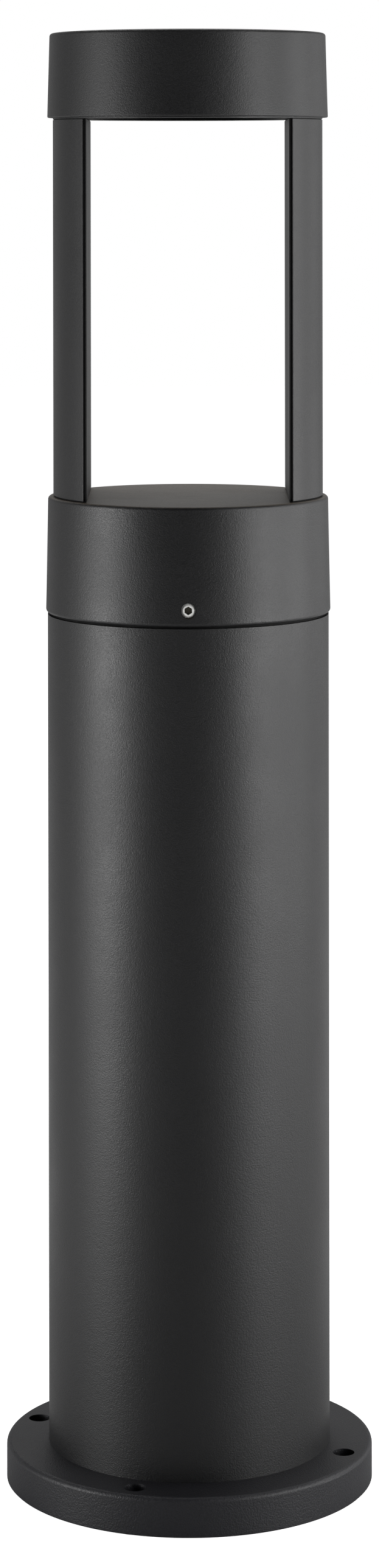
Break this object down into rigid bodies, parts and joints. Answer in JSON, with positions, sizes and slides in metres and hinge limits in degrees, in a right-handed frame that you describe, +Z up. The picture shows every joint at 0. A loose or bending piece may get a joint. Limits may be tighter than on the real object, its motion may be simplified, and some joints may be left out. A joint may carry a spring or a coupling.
{
  "type": "garden post light",
  "caption": "Round post light on a bolted base flange, with a drum head held on two arc-shaped uprights above a flat collar and lit from inside the head.",
  "frame": {"origin": "centre of the base flange's underside, on the ground", "axes": "+Z up along the post; the open window between the uprights looks along Y, with the front set screw facing -Y; +X to the right seen from the front"},
  "size_m": [0.152, 0.152, 0.6],
  "materials": {
    "powder_coat": "fine-textured anthracite powder coat",
    "steel": "bright stainless steel",
    "black_rubber": "matt black rubber",
    "black_plastic": "moulded black plastic",
    "white_plastic": "moulded white plastic",
    "opal": "frosted white plastic",
    "board": "white solder mask",
    "chip": "yellow phosphor",
    "bare_aluminium": "turned aluminium",
    "sheet_metal": "zinc-plated sheet",
    "soft_pad": "soft silicone",
    "driver_case": "white plastic case",
    "brass": "plain brass",
    "brown_sheath": "brown sheath",
    "blue_sheath": "blue sheath",
    "green_sheath": "green sheath",
    "red_sheath": "red sheath",
    "black_sheath": "black sheath"
  },
  "bodies": {
    "root": {"base_flange": "powder_coat", "flange_screws": "steel", "post_tube": "powder_coat", "neck_ring": "powder_coat", "neck_screws": "steel", "collar_seal": "black_rubber", "collar": "powder_coat", "set_screws": "steel", "foot_gasket_left": "black_rubber", "foot_gasket_right": "black_rubber", "upright_left": "powder_coat", "upright_right": "powder_coat", "cover_strip_left": "powder_coat", "cover_strip_right": "powder_coat", "top_gasket_left": "black_rubber", "top_gasket_right": "black_rubber", "foot_screws": "steel", "top_screws": "steel", "head_plate": "powder_coat", "cap_seal": "black_rubber", "head_cap": "powder_coat", "cap_screws": "steel", "lens_gasket": "black_rubber", "lens": "opal", "reflector": "white_plastic", "led_board": "board", "led_chips": "chip", "board_terminal": "white_plastic", "heat_spreader": "bare_aluminium", "spreader_screws": "steel", "board_screws": "steel", "thermal_pad": "soft_pad", "bracket": "sheet_metal", "bracket_screws": "steel", "driver": "driver_case", "driver_screws": "steel", "terminal_block": "white_plastic", "terminal_screws": "brass", "gland_body": "black_plastic", "gland_lock_nut": "black_plastic", "gland_seal": "black_rubber", "gland_cap_nut": "black_plastic", "earth_lug": "brass", "earth_screw": "steel", "live_lead": "brown_sheath", "neutral_lead": "blue_sheath", "earth_lead": "green_sheath", "led_lead_plus": "red_sheath", "led_lead_minus": "black_sheath"}
  },
  "joints": []
}
